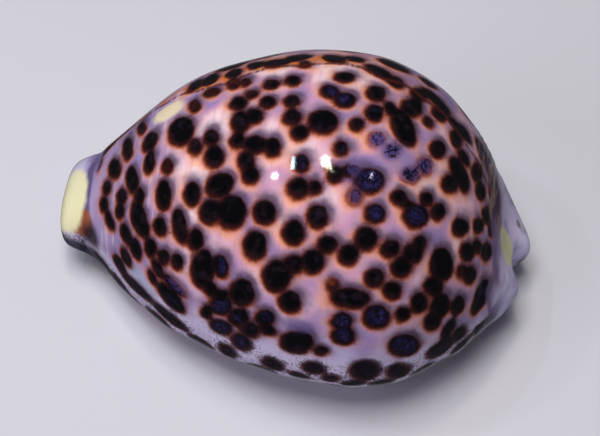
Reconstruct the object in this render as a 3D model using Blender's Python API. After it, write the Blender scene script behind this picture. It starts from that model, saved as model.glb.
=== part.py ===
"""A tiger cowrie shell lying on its lips, modelled in metres with +Z up.

The shell is one grown piece: an egg-shaped wall, thick at the base and thin over the back,
rolled in along two toothed lips.  The slit between the lips leads into the hollow where the
animal lived, and it runs out as an open canal at each end.  +X points at the rear (posterior)
end, +Y at the outer (labral) lip, and the shell rests on z = 0.
"""
import math
from bisect import bisect_right

import bmesh
import bpy
import numpy as np

MM = 0.001

# Driving dimensions, in millimetres.
FORM_FRONT = -42.5         # the two ends of the plain egg form
FORM_REAR = 38.6
FORM_MIDDLE = (FORM_FRONT + FORM_REAR) / 2
FORM_HALF = (FORM_REAR - FORM_FRONT) / 2
LEAST_WIDTH = 0.001        # keeps a cross-section at the very tips from dividing by nothing
BACK_POWER = 2.15          # roundness of a cross-section above its widest line
BASE_POWER = 2.6           # the base is a little squarer than the back
BASE_SKEW = 0.1            # the base hangs lowest under the slit: share of the half width
FORM_RINGS = 38            # rings of the outer form along the shell
FORM_SEGMENTS = 42         # segments round the shell

# The lines plan.  Each station gives: place along the shell, sideways centre, half width,
# height of the back, height of the widest line, height of the base (before it is worn flat).
LINES = (
    (-42.5, 2.4, 0.0, 10.5, 10.5, 10.5),
    (-41.4, 2.8, 6.7, 15.4, 10.6, 5.6),
    (-38.5, 2.7, 8.2, 19.0, 11.2, 3.4),
    (-35.0, 2.3, 9.6, 23.0, 12.0, 2.0),
    (-31.0, 1.9, 12.9, 28.0, 13.0, 0.8),
    (-23.5, 1.4, 19.2, 36.0, 15.0, -0.4),
    (-10.5, 0.8, 25.8, 43.6, 17.5, -0.8),
    (2.5, 0.2, 28.8, 47.2, 18.5, -0.9),
    (15.0, -0.5, 28.4, 46.4, 18.5, -0.9),
    (25.5, -0.1, 23.6, 39.6, 17.5, -0.7),
    (31.0, 0.2, 18.7, 32.4, 16.5, 0.3),
    (34.5, 0.6, 14.3, 25.4, 15.0, 1.8),
    (37.0, 1.0, 9.4, 18.6, 12.6, 4.0),
    (38.6, 1.0, 0.0, 10.5, 10.5, 10.5),
)

# Bumps that draw the rear end out: the outer lip's prong, its shoulder and the inner lip's
# prong.  Each gives: sideways place, height, reach past the egg form, spreads both ways.
PRONGS = (
    (5.2, 9.5, 4.0, 4.0, 6.5),
    (10.5, 11.0, 2.6, 3.6, 7.0),
    (-7.0, 9.0, 4.0, 4.4, 6.5),
)
PRONG_ROOT = 30.0          # the ends start to be drawn out here

# The hollow inside.
HOLLOW_FRONT = -33.0
HOLLOW_REAR = 33.5
BACK_WALL = 2.1
SIDE_WALL = 3.4
FLOOR_WALL = 7.6           # base thickness, which is also the height of the lips
HOLLOW_END_POWER = 6.0
HOLLOW_RINGS = 18
HOLLOW_SEGMENTS = 22

# The slit between the lips: place along, sideways centre, width, lip radius, roof height.
SLIT = (
    (-46.0, 1.2, 7.0, 1.4, 9.2),
    (-38.0, 2.2, 6.6, 2.0, 9.6),
    (-28.0, 3.8, 6.2, 2.8, 9.8),
    (-18.0, 4.5, 5.8, 3.2, 9.8),
    (0.0, 4.5, 5.7, 3.2, 9.8),
    (18.0, 4.5, 5.7, 3.2, 9.8),
    (27.0, 3.2, 5.4, 2.8, 9.8),
    (32.0, 1.0, 5.0, 2.2, 10.4),
    (35.5, -0.4, 4.6, 1.8, 11.6),
    (38.5, -0.7, 4.8, 1.6, 13.4),
    (46.0, -0.6, 5.6, 1.4, 17.0),
)
SLIT_SECTIONS = 34
LIP_STEPS = 4              # facets round each rolled lip
ROOF_STEPS = 2             # facets round each corner of the slit's roof
ROOF_ROUND = 0.8           # height of the roof's rounding, as a share of half the width
LEAST_THROAT = 0.4         # least height of the slit's straight sides
LOWEST_FOOT = -0.35        # the rounding ends a little under the worn flats
SLIT_DEPTH_BELOW = 3.0     # how far the cutter reaches under the base

# The teeth: small ridges across the edge of each lip.
TEETH_PER_LIP = 24
TEETH_FRONT = -31.0
TEETH_REAR = 31.5
TOOTH_HALF_THICKNESS = 0.75
TOOTH_PROUD = 0.55         # how far it stands out of the rolled lip
TOOTH_SEGMENTS = 10
TOOTH_RINGS = 4

# Side of the block that wears the lips flat.
REST_BLOCK = 180.0

SHELL_COLOUR = (0.42, 0.27, 0.22, 1.0)
SHELL_ROUGHNESS = 0.18


def fair_curve(places, values):
    """Natural cubic spline through the values, given back as a function of place."""
    steps = np.diff(places)
    slopes = np.diff(values) / steps
    count = len(places)
    matrix = np.eye(count)
    right = np.zeros(count)
    for i in range(1, count - 1):
        matrix[i, i - 1] = steps[i - 1]
        matrix[i, i] = 2 * (steps[i - 1] + steps[i])
        matrix[i, i + 1] = steps[i]
        right[i] = 6 * (slopes[i] - slopes[i - 1])
    bends = np.linalg.solve(matrix, right)

    def read(place):
        i = min(max(bisect_right(places, place) - 1, 0), count - 2)
        step = steps[i]
        before = (places[i + 1] - place) / step
        after = 1 - before
        bending = (before**3 - before) * bends[i] + (after**3 - after) * bends[i + 1]
        return before * values[i] + after * values[i + 1] + bending * step**2 / 6

    return read


def end_angle(x):
    """Angle from the front tip to the rear one, on a half circle over the egg form."""
    share = min(max((x - FORM_MIDDLE) / FORM_HALF, -1.0), 1.0)
    return math.acos(-share)


def line_curve(column, minus=None):
    """One column of the lines plan as a curve over the end angle, or a difference of two."""
    places = [end_angle(station[0]) for station in LINES]
    values = [station[column] - (station[minus] if minus else 0.0) for station in LINES]
    return fair_curve(places, values)


CENTRE = line_curve(1)
HALF_WIDTH = line_curve(2)
RISE = line_curve(3, minus=4)
DROP = line_curve(4, minus=5)
WAIST = line_curve(4)
SLIT_CURVES = [
    fair_curve([row[0] for row in SLIT], [row[column] for row in SLIT])
    for column in range(1, 5)
]


def section(x):
    """Centre, half width, rise to the back, drop to the base and widest height at x."""
    angle = end_angle(x)
    half_width = max(HALF_WIDTH(angle), 0.0)
    return CENTRE(angle), half_width, RISE(angle), DROP(angle), WAIST(angle)


def egg_point(centre, half_width, rise, drop, waist, angle):
    """Sideways place and height at an angle round a cross-section, from +Y over the back."""
    on_back = math.sin(angle) >= 0
    power = BACK_POWER if on_back else BASE_POWER
    across = math.copysign(abs(math.cos(angle)) ** (2 / power), math.cos(angle))
    upward = math.copysign(abs(math.sin(angle)) ** (2 / power), math.sin(angle))
    skew = 0.0 if on_back else BASE_SKEW * (1 - across**2)
    y = centre + half_width * (across + skew)
    return y, waist + (rise if on_back else drop) * upward


def base_height(x, y):
    """Height of the base under the sideways place y, from the same curve as egg_point."""
    centre, half_width, _, drop, waist = section(x)
    share = (y - centre) / max(half_width, LEAST_WIDTH)
    inside = max(1 - 4 * BASE_SKEW * (share - BASE_SKEW), 0.0)
    across = min(abs(1 - math.sqrt(inside)) / (2 * BASE_SKEW), 1.0)
    return waist - drop * (1 - across**BASE_POWER) ** (1 / BASE_POWER)


def outer_point(along, angle):
    """Point of the outer form; along runs from -1 at the front tip to 1 at the rear."""
    x = FORM_MIDDLE + FORM_HALF * along
    y, z = egg_point(*section(x), angle)
    for place, height, reach, spread, tall in PRONGS:
        root = max((x - PRONG_ROOT) / (FORM_REAR - PRONG_ROOT), 0.0)
        bell = math.exp(-(((y - place) / spread) ** 2) - ((z - height) / tall) ** 2)
        x += reach * root**2 * bell
    return x, y, z


def hollow_point(along, angle):
    """Point of the hollow, which keeps inside the outer form by the wall thicknesses."""
    x = HOLLOW_FRONT + (HOLLOW_REAR - HOLLOW_FRONT) * (along + 1) / 2
    centre, half_width, rise, drop, waist = section(x)
    end_round = math.sqrt(max(1 - abs(along) ** HOLLOW_END_POWER, 0.0))
    half_width = (half_width - SIDE_WALL) * end_round
    rise = (rise - BACK_WALL) * end_round
    drop = (drop - FLOOR_WALL) * end_round
    y, z = egg_point(centre, half_width, rise, drop, waist, angle)
    return x, y, z


def shaped_sphere(name, point_at, segments, rings):
    """A sphere whose poles lie at the shell's two ends, moved onto a form."""
    bm = bmesh.new()
    bmesh.ops.create_uvsphere(bm, u_segments=segments, v_segments=rings, radius=1.0)
    for vert in bm.verts:
        along = max(-1.0, min(1.0, vert.co.z))
        angle = math.atan2(vert.co.y, vert.co.x)
        vert.co = [value * MM for value in point_at(along, angle)]
    return mesh_object(name, bm)


def slit_size(x):
    """Centre, half width, lip radius and roof height of the slit at x."""
    centre, width, radius, roof = (curve(x) for curve in SLIT_CURVES)
    return centre, width / 2, radius, roof


def lip_foot(x, side):
    """Height at which a lip's rounding meets the base; side is 1 for +Y and -1 for -Y."""
    centre, half_gap, radius, roof = slit_size(x)
    foot = base_height(x, centre + side * (half_gap + radius))
    highest = roof - ROOF_ROUND * half_gap - LEAST_THROAT - radius
    return min(max(foot, LOWEST_FOOT), highest)


def slit_side(x, side):
    """One side of the slit's outline at x, from the roof down over the lip, as (y, z)."""
    centre, half_gap, radius, roof = slit_size(x)
    foot = lip_foot(x, side)
    points = []
    for step in range(ROOF_STEPS + 1):
        turn = math.pi / 2 * (step + 0.5) / (ROOF_STEPS + 0.5)
        fall = ROOF_ROUND * half_gap * (1 - math.cos(turn))
        points.append((half_gap * math.sin(turn), roof - fall))
    for step in range(LIP_STEPS + 1):
        turn = math.pi / 2 * step / LIP_STEPS
        outward = half_gap + radius * (1 - math.cos(turn))
        points.append((outward, foot + radius * (1 - math.sin(turn))))
    points.append((half_gap + radius, foot - SLIT_DEPTH_BELOW))
    return [(centre + side * outward, z) for outward, z in points]


def slit_cutter():
    """The slit as a solid: its changing outline lofted from end to end."""
    bm = bmesh.new()
    loops = []
    front, rear = SLIT[0][0], SLIT[-1][0]
    for number in range(SLIT_SECTIONS + 1):
        x = front + (rear - front) * number / SLIT_SECTIONS
        outline = slit_side(x, 1) + slit_side(x, -1)[::-1]
        corners = [bm.verts.new((x * MM, y * MM, z * MM)) for y, z in outline]
        loops.append(corners)
    for loop, following in zip(loops, loops[1:]):
        for corner in range(len(loop)):
            after = (corner + 1) % len(loop)
            bm.faces.new((loop[corner], loop[after], following[after], following[corner]))
    bm.faces.new(loops[0])
    bm.faces.new(loops[-1])
    bmesh.ops.recalc_face_normals(bm, faces=bm.faces)
    return mesh_object("slit_cutter", bm)


def teeth():
    """All the teeth as one mesh of separate thin discs, each sunk in the rounding of a lip."""
    bm = bmesh.new()
    for number in range(TEETH_PER_LIP):
        x = TEETH_FRONT + (TEETH_REAR - TEETH_FRONT) * number / (TEETH_PER_LIP - 1)
        centre, half_gap, radius, _ = slit_size(x)
        for side in (-1, 1):
            foot = lip_foot(x, side)
            made = bmesh.ops.create_uvsphere(
                bm, u_segments=TOOTH_SEGMENTS, v_segments=TOOTH_RINGS, radius=1.0
            )
            for vert in made["verts"]:
                thick, across, upward = vert.co.z, vert.co.x, vert.co.y
                vert.co.x = x + thick * TOOTH_HALF_THICKNESS
                vert.co.y = centre + side * (half_gap + radius)
                vert.co.y += across * (radius + TOOTH_PROUD)
                vert.co.z = foot + radius + upward * (radius + TOOTH_PROUD)
                vert.co *= MM
    return mesh_object("teeth_cutter", bm)


def rest_cutter():
    """A block under z = 0 that wears the crests of the lips flat."""
    bm = bmesh.new()
    bmesh.ops.create_cube(bm, size=1.0)
    for vert in bm.verts:
        vert.co.z -= 0.5
        vert.co *= REST_BLOCK * MM
    return mesh_object("rest_cutter", bm)


def mesh_object(name, bm):
    """Turn a bmesh into an object that isn't linked to a collection yet."""
    mesh = bpy.data.meshes.new(name)
    bm.to_mesh(mesh)
    bm.free()
    return bpy.data.objects.new(name, mesh)


def add_boolean(target, cutter, operation):
    """Cut or join with an exact Boolean that stays on the object."""
    modifier = target.modifiers.new(cutter.name, "BOOLEAN")
    modifier.operation = operation
    modifier.solver = "EXACT"
    modifier.object = cutter


def shell_material():
    """Glossy shell enamel, in the mean colour of the spotted back."""
    material = bpy.data.materials.new("shell_enamel")
    material.use_nodes = True
    shader = material.node_tree.nodes["Principled BSDF"]
    shader.inputs["Base Color"].default_value = SHELL_COLOUR
    shader.inputs["Roughness"].default_value = SHELL_ROUGHNESS
    shader.inputs["Metallic"].default_value = 0.0
    material.diffuse_color = SHELL_COLOUR
    return material


def new_collection(name):
    collection = bpy.data.collections.new(name)
    bpy.context.scene.collection.children.link(collection)
    return collection


def main():
    for old in list(bpy.data.objects):
        bpy.data.objects.remove(old)

    parts = new_collection("cowrie")
    tools = new_collection("cutters")

    shell = shaped_sphere("cowrie_shell", outer_point, FORM_SEGMENTS, FORM_RINGS)
    shell.data.materials.append(shell_material())
    parts.objects.link(shell)

    hollow = shaped_sphere("hollow_cutter", hollow_point, HOLLOW_SEGMENTS, HOLLOW_RINGS)
    steps = (
        (hollow, "DIFFERENCE"),
        (slit_cutter(), "DIFFERENCE"),
        (teeth(), "UNION"),
        (rest_cutter(), "DIFFERENCE"),
    )
    for cutter, operation in steps:
        cutter.hide_render = True
        cutter.display_type = "WIRE"
        tools.objects.link(cutter)
        add_boolean(shell, cutter, operation)

    shell.data.shade_smooth()
    shell.data.set_sharp_from_angle(angle=math.radians(50))


main()
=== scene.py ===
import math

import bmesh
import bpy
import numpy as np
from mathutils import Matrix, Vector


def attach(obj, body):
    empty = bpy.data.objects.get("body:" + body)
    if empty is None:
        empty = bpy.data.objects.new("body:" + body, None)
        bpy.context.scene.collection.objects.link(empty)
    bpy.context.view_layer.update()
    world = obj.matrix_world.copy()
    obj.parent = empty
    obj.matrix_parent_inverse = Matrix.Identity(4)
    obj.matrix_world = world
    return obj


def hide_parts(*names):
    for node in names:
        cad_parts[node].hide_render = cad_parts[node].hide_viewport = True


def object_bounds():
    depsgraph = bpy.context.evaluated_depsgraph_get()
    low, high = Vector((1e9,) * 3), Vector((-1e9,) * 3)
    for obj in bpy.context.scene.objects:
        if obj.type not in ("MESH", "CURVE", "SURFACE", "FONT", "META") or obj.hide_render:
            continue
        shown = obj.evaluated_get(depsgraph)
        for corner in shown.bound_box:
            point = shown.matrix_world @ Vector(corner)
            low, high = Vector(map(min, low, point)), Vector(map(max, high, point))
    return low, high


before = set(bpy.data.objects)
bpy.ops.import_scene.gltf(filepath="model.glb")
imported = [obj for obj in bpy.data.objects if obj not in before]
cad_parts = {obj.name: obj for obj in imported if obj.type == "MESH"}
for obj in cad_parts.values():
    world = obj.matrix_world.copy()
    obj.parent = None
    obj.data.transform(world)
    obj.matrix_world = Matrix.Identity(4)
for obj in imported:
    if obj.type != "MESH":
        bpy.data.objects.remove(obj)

# %% [markdown]
# # A spotted cowrie, from a plain frame to a glazed shell
# The frame gives one closed body: an egg-shaped last whorl, hollow inside, with a
# toothed slit along its flat base. This lesson keeps that body's place and size, and
# gives it a finer skin, its teeth, its spots and its polish.
# The shell's lengths are in millimetres until a mesh is written, because its own sizes
# are easy to picture that way. The camera and the lamps are placed in metres.

MM = 0.001
cad_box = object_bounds()
print("frame, mm:", [[round(value / MM, 2) for value in corner] for corner in cad_box])

# %% [markdown]
# ## The camera
# A small object is looked at from nearby through a long lens, so its outline keeps
# its true shape. The camera looks down on the back from the columella side. It comes
# first, because every later choice is judged through it.
# It could be aimed with a tracking constraint. Three perpendicular directions are
# written out instead, so the small lean of the view is easy to see and change.

# %% A long lens, looking down on the back of the shell
LOOK_DOWN = math.radians(57.0)
SWING = math.radians(5.2)
LEAN = math.radians(1.9)
STAND_OFF = 0.300
FOCAL_LENGTH = 103.5
AIM_HEIGHT = 0.020
AIM_RIGHT, AIM_DOWN = 0.0007, 0.00104

outward = Vector((math.sin(SWING) * math.cos(LOOK_DOWN), -math.cos(SWING) * math.cos(LOOK_DOWN),
                  math.sin(LOOK_DOWN)))
level = Vector((math.cos(SWING), math.sin(SWING), 0.0))
upright = outward.cross(level)
rightward = level * math.cos(LEAN) + upright * math.sin(LEAN)
upward = upright * math.cos(LEAN) - level * math.sin(LEAN)
aim = Vector((0.0, 0.0, AIM_HEIGHT)) + rightward * AIM_RIGHT - upward * AIM_DOWN

lens = bpy.data.cameras.new("long_lens")
lens.lens = FOCAL_LENGTH
camera = bpy.data.objects.new("camera", lens)
bpy.context.scene.collection.objects.link(camera)
turn = Matrix((rightward, upward, outward)).transposed().to_4x4()
camera.matrix_world = Matrix.Translation(aim + outward * STAND_OFF) @ turn
bpy.context.scene.camera = camera
# this transform keeps the darks dark and the pinks pink
bpy.context.scene.view_settings.view_transform = "Standard"
print("camera at, mm:", [round(value / MM) for value in camera.location])

# %% [markdown]
# ## The form of the shell
# A cowrie grows by winding its last whorl right round the older ones, so its outside
# is an egg: round along the back, flatter below, pinched at both ends.
# It could be pushed into shape with a sculpting brush. Here it is written as a field,
# a number for every point in space that is nought on the skin, less inside the wall
# and more outside it. Any mesh laid near the skin can then be settled onto it exactly,
# and the teeth, grooves and wrinkles are added to the same number.
# The sizes are those of the frame, so the skin lies where the frame's solid does.

# %% A fair curve through a column of sizes
def fair_curve(places, values):
    """The smoothest cubic curve through the values, straight at its two ends."""
    steps = np.diff(places)
    slopes = np.diff(values) / steps
    count = len(places)
    sums = np.eye(count)
    turns = np.zeros(count)
    for i in range(1, count - 1):
        sums[i, i - 1:i + 2] = steps[i - 1], 2 * (steps[i - 1] + steps[i]), steps[i]
        turns[i] = 6 * (slopes[i] - slopes[i - 1])
    bends = np.linalg.solve(sums, turns)

    def read(x):
        i = np.clip(np.searchsorted(places, x, side="right") - 1, 0, count - 2)
        ahead = (x - places[i]) / steps[i]
        behind = 1 - ahead
        bow = (behind ** 3 - behind) * bends[i] + (ahead ** 3 - ahead) * bends[i + 1]
        return behind * values[i] + ahead * values[i + 1] + bow * steps[i] ** 2 / 6

    return read


# %% The lines of the egg, from the front end to the rear
# place along x, middle in y, half width, height of the back, height of the waist, of the base
LINES = np.array((
    (-42.5, 2.4, 0.0, 10.5, 10.5, 10.5), (-41.4, 2.8, 6.7, 15.4, 10.6, 5.6),
    (-38.5, 2.7, 8.2, 19.0, 11.2, 3.4), (-35.0, 2.3, 9.6, 23.0, 12.0, 2.0),
    (-31.0, 1.9, 12.9, 28.0, 13.0, 0.8), (-23.5, 1.4, 19.2, 36.0, 15.0, -0.4),
    (-10.5, 0.8, 25.8, 43.6, 17.5, -0.8), (2.5, 0.2, 28.8, 47.2, 18.5, -0.9),
    (15.0, -0.5, 28.4, 46.4, 18.5, -0.9), (25.5, -0.1, 23.6, 39.6, 17.5, -0.7),
    (31.0, 0.2, 18.7, 32.4, 16.5, 0.3), (34.5, 0.6, 14.3, 25.4, 15.0, 1.8),
    (37.0, 1.0, 9.4, 18.6, 12.6, 4.0), (38.6, 1.0, 0.0, 10.5, 10.5, 10.5)))
FRONT, REAR = LINES[0, 0], LINES[-1, 0]
HALF_LENGTH = (REAR - FRONT) / 2
MIDDLE = (REAR + FRONT) / 2


def end_angle(x):
    """Nought at the front end and pi at the rear, so the two caps come out round."""
    return np.arccos(-np.clip((x - MIDDLE) / HALF_LENGTH, -1, 1))


stations = end_angle(LINES[:, 0])
middle_at = fair_curve(stations, LINES[:, 1])
width_at = fair_curve(stations, LINES[:, 2])
waist_at = fair_curve(stations, LINES[:, 4])
rise_at = fair_curve(stations, LINES[:, 3] - LINES[:, 4])
drop_at = fair_curve(stations, LINES[:, 4] - LINES[:, 5])
print("widest half width, mm:", round(float(width_at(np.linspace(0, math.pi, 200)).max()), 2))

# %% The outside as a field, with the spout lobes at the rear end
BACK_POWER, BASE_POWER = 2.15, 2.6      # 2 is an ellipse, and more is squarer
BASE_SKEW = 0.1
# middle in y and z, how far the lobe reaches, how wide and how tall it is
LOBES = ((5.2, 9.5, 4.0, 4.0, 6.5), (10.5, 11.0, 2.6, 3.6, 7.0), (-7.0, 9.0, 4.0, 4.4, 6.5))
LOBE_ROOT = 30.0
LOBE_ROUNDS = 4
# the two poles are left out of the ratios below, because both numbers are nought there
POLE_GAP, POLE_SHARE = 0.02, 0.9998
fine = np.linspace(POLE_GAP, math.pi - POLE_GAP, 400)
half_ratio, rise_ratio, drop_ratio = (line(fine) / np.sin(fine)
                                      for line in (width_at, rise_at, drop_at))


def base_lean(height_share, half):
    """How far the base leans to the outer lip at a share of its depth."""
    across = (1 - np.clip(height_share, 0, 1) ** BASE_POWER) ** (1 / BASE_POWER)
    return BASE_SKEW * half * (1 - across ** 2)


def without_lobes(points):
    """The length place that each point would have if the rear end had no lobes."""
    x, y, z = points.T
    plain = x
    for _ in range(LOBE_ROUNDS):
        root = np.clip((plain - LOBE_ROOT) / (REAR - LOBE_ROOT), 0, 1)
        reach = sum(far * np.exp(-((y - at_y) / wide) ** 2 - ((z - at_z) / tall) ** 2)
                    for at_y, at_z, far, wide, tall in LOBES)
        plain = x - reach * root ** 2
    return plain


def egg_field(points):
    """Nought on the egg, less inside it and more outside."""
    share = (without_lobes(points) - MIDDLE) / HALF_LENGTH
    angle = np.arccos(-np.clip(share, -POLE_SHARE, POLE_SHARE))
    half, rise, drop = (np.interp(angle, fine, ratio) for ratio in (half_ratio, rise_ratio, drop_ratio))
    up = points[:, 2] - waist_at(angle)
    back = up >= 0
    lean = base_lean(np.abs(up) / (drop * np.sin(angle)), half * np.sin(angle))
    across = np.abs(points[:, 1] - middle_at(angle) - np.where(back, 0, lean)) / half
    power = np.where(back, BACK_POWER, BASE_POWER)
    height = np.abs(up) / np.where(back, rise, drop)
    return (across ** power + height ** power) ** (2 / power) + share ** 2 - 1


print(len(LOBES), "lobes draw the rear end out, from x =", LOBE_ROOT)

# %% The hollow where the animal lived
HOLLOW_FRONT, HOLLOW_REAR, HOLLOW_END_POWER = -33.0, 33.5, 6.0
BACK_WALL, SIDE_WALL, FLOOR_WALL = 2.1, 3.4, 7.6


def hollow_field(points):
    """Nought on the wall of the hollow, and less inside the hollow."""
    x, y, z = points.T
    angle = end_angle(np.clip(x, HOLLOW_FRONT, HOLLOW_REAR))
    half, rise, drop = width_at(angle) - SIDE_WALL, rise_at(angle) - BACK_WALL, drop_at(angle) - FLOOR_WALL
    up = z - waist_at(angle)
    back = up >= 0
    lean = base_lean(np.abs(up) / drop, half)
    across = np.abs(y - middle_at(angle) - np.where(back, 0, lean)) / half
    height = np.abs(up) / np.where(back, rise, drop)
    power = np.where(back, BACK_POWER, BASE_POWER)
    along = np.abs(x - (HOLLOW_FRONT + HOLLOW_REAR) / 2) / ((HOLLOW_REAR - HOLLOW_FRONT) / 2)
    return (across ** power + height ** power) ** (2 / power) + along ** HOLLOW_END_POWER - 1


print("walls at the back, sides and base, mm:", BACK_WALL, SIDE_WALL, FLOOR_WALL)

# %% [markdown]
# ## The slit and its teeth
# The opening of a cowrie is a long slit between two rolled lips, each with a row of
# short ridges called teeth. They stop a crab's claw from reaching in.
# They could be two dozen small pieces a side. Ridges that rise and fade in the lip's
# own surface look grown instead of glued on, so they are part of the field.

# %% The slit: middle in y, width, roundness of its lips and height of its roof
SLIT = np.array((
    (-46.0, 1.2, 7.0, 1.4, 9.2), (-38.0, 2.2, 6.6, 2.0, 9.6), (-28.0, 3.8, 6.2, 2.8, 9.8),
    (-18.0, 4.5, 5.8, 3.2, 9.8), (0.0, 4.5, 5.7, 3.2, 9.8), (18.0, 4.5, 5.7, 3.2, 9.8),
    (27.0, 3.2, 5.4, 2.8, 9.8), (32.0, 1.0, 5.0, 2.2, 10.4), (35.5, -0.4, 4.6, 1.8, 11.6),
    (38.5, -0.7, 4.8, 1.6, 13.4), (46.0, -0.6, 5.6, 1.4, 17.0)))
slit_lines = [fair_curve(SLIT[:, 0], SLIT[:, column]) for column in range(1, 5)]
ROOF_ROUND = 0.8


def round_corner(one, other, radius):
    """The larger of two fields, with the corner between them rounded off."""
    corner = np.hypot(np.maximum(one + radius, 0), np.maximum(other + radius, 0))
    return np.minimum(np.maximum(one, other), -radius) + corner


def slit_field(points):
    """The slit's field, how far each point is beside the slit, and the roundness of the lips."""
    x, y, z = points.T
    middle, width, radius, roof = (line(np.clip(x, SLIT[0, 0], SLIT[-1, 0])) for line in slit_lines)
    beside = np.abs(y - middle) - width / 2
    return round_corner(beside, z - roof, width / 2 * ROOF_ROUND), beside, radius


print("slit in the middle, mm wide:", round(float(slit_lines[1](0.0)), 1))

# %% Ridges across both lips, fading on the base and up in the throat
TEETH_PER_LIP = 24
TEETH_FRONT, TEETH_REAR = -31.0, 31.5
TOOTH_PITCH = (TEETH_REAR - TEETH_FRONT) / (TEETH_PER_LIP - 1)
TOOTH_PROUD, GROOVE_DEEP = 0.6, 0.4
ROW_FADE = 1.8                            # past the last tooth
SWAY = 0.10                               # of a tooth's pitch
OUTER_RUN, INNER_RUN = 3.6, 2.2           # how far the grooves run out on the base
LIP_FADE, BASE_FADE = (5.2, 2.6), (3.0, 1.2)


def fade(value, none, full):
    """Nought at one value and one at the other, with soft ends."""
    share = np.clip((value - none) / (full - none), 0, 1)
    return share * share * (3 - 2 * share)


def teeth(points, beside, radius):
    """How far the teeth stand out of the wall, less the depth of the grooves between them."""
    x, y, z = points.T
    outer_lip = y > slit_lines[0](np.clip(x, SLIT[0, 0], SLIT[-1, 0]))
    sway = SWAY * np.where(outer_lip, np.sin(1.7 * x), np.sin(1.3 * x + 2.0))
    ridge = 0.5 + 0.5 * np.cos(2 * math.pi * ((x - TEETH_FRONT) / TOOTH_PITCH + sway))
    row = fade(x, TEETH_FRONT - ROW_FADE, TEETH_FRONT) * fade(x, TEETH_REAR + ROW_FADE, TEETH_REAR)
    on_lip = fade(beside, radius + 1.2, radius * 0.5) * fade(z, *LIP_FADE) * row
    run = np.where(outer_lip, OUTER_RUN, INNER_RUN)
    on_base = fade(beside, radius + run, radius * 0.6) * fade(z, *BASE_FADE) * row
    return TOOTH_PROUD * ridge ** 1.5 * on_lip - GROOVE_DEEP * (1 - ridge) * on_base


print(TEETH_PER_LIP, "teeth a lip,", round(TOOTH_PITCH, 2), "mm apart")

# %% [markdown]
# ## Growth marks
# No shell is a perfect egg. The glaze is laid down in coats, so the back has broad
# shallow lumps, and the callus at each end stands a little proud of a shallow groove.

# %% Broad lumps, end grooves and fine growth wrinkles
growth = np.random.default_rng(1758)
LUMPS, LUMP_HIGH = 9, 0.045
LUMP_WAVES = growth.normal(0.0, 0.21, (LUMPS, 3))
LUMP_SHIFTS = growth.uniform(0.0, 2 * math.pi, LUMPS)
# place along x, lean as y grows, depth and breadth of the groove beside each callus
END_GROOVES = ((-35.6, -0.06, 0.32, 1.1), (33.6, 0.05, 0.22, 0.8))
# height of each, its middle (along x for the wrinkles, in z for the waves) and its spread
WRINKLE_HIGH, WRINKLES_AT, WRINKLES_WIDE = 0.05, 31.8, 2.4
WAVE_HIGH, WAVES_AT, WAVES_TALL = 0.10, 9.0, 5.0


def growth_marks(points):
    """How far lumps, wrinkles and waves stand out of the egg, less the depth of the end grooves."""
    x, y, z = points.T
    lumps = LUMP_HIGH * np.sin(points @ LUMP_WAVES.T + LUMP_SHIFTS).sum(axis=1)
    upper = fade(z, 6.0, 13.0)
    grooves = sum(deep * np.exp(-((x - at - lean * y) / wide) ** 2) for at, lean, deep, wide in END_GROOVES)
    wrinkles = WRINKLE_HIGH * np.sin(7.0 * x + 0.8 * np.sin(0.3 * y))
    wrinkles = wrinkles * np.exp(-((x - WRINKLES_AT) / WRINKLES_WIDE) ** 2)
    flank_waves = WAVE_HIGH * np.sin(0.62 * x + 1.0) * np.exp(-((z - WAVES_AT) / WAVES_TALL) ** 2)
    return lumps - upper * grooves + upper * wrinkles + flank_waves


print("lumps up to, mm:", round(LUMPS * LUMP_HIGH, 2))

# %% One field for the whole shell
THROAT_ROUND, REST_ROUND = 1.2, 0.5
NUDGE = 0.02
SETTLE_ROUNDS = 3
LONGEST_STEP = 0.6


def slope_of(field, points, here):
    """How fast a field grows along x, y and z, from its value at each point."""
    return np.stack([(field(points + NUDGE * axis) - here) / NUDGE for axis in np.eye(3)], axis=1)


def in_millimetres(field, points):
    """A field divided by its own slope, so that it reads as a distance."""
    here = field(points)
    return here / np.maximum(np.linalg.norm(slope_of(field, points, here), axis=1), 1e-6)


def shell_field(points):
    """Nought on the whole skin: the egg with its slit, teeth, hollow and worn flat base."""
    slit, beside, radius = slit_field(points)
    wall = round_corner(in_millimetres(egg_field, points) - growth_marks(points), -slit, radius)
    wall = wall - teeth(points, beside, radius)
    wall = round_corner(wall, -in_millimetres(hollow_field, points), THROAT_ROUND)
    return round_corner(wall, -points[:, 2], REST_ROUND)


def settle(points, field=shell_field):
    """Walk every point down the field's slope until it lies on the skin."""
    for _ in range(SETTLE_ROUNDS):
        here = field(points)
        slope = slope_of(field, points, here)
        step = -(here / np.maximum((slope ** 2).sum(axis=1), 0.05))[:, None] * slope
        reach = np.linalg.norm(step, axis=1, keepdims=True)
        points = points + step * np.minimum(1, LONGEST_STEP / np.maximum(reach, 1e-9))
    return points


print("field 1 mm over the crown:", round(float(shell_field(np.array([[2.5, 0.2, 48.2]]))[0]), 2))

# %% [markdown]
# ## The skin
# The frame's mesh is loose triangles of many sizes. A copy of it is merged, and the
# Remesh modifier lays an even net of small squares over it. The net is settled onto
# the field, eased with smooth_vert so its squares stay even, and settled again.
# The lips need smaller squares than the back, so only they are cut once more.

# %% A merged copy of the frame's body under an even net
NET = 0.66

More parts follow.
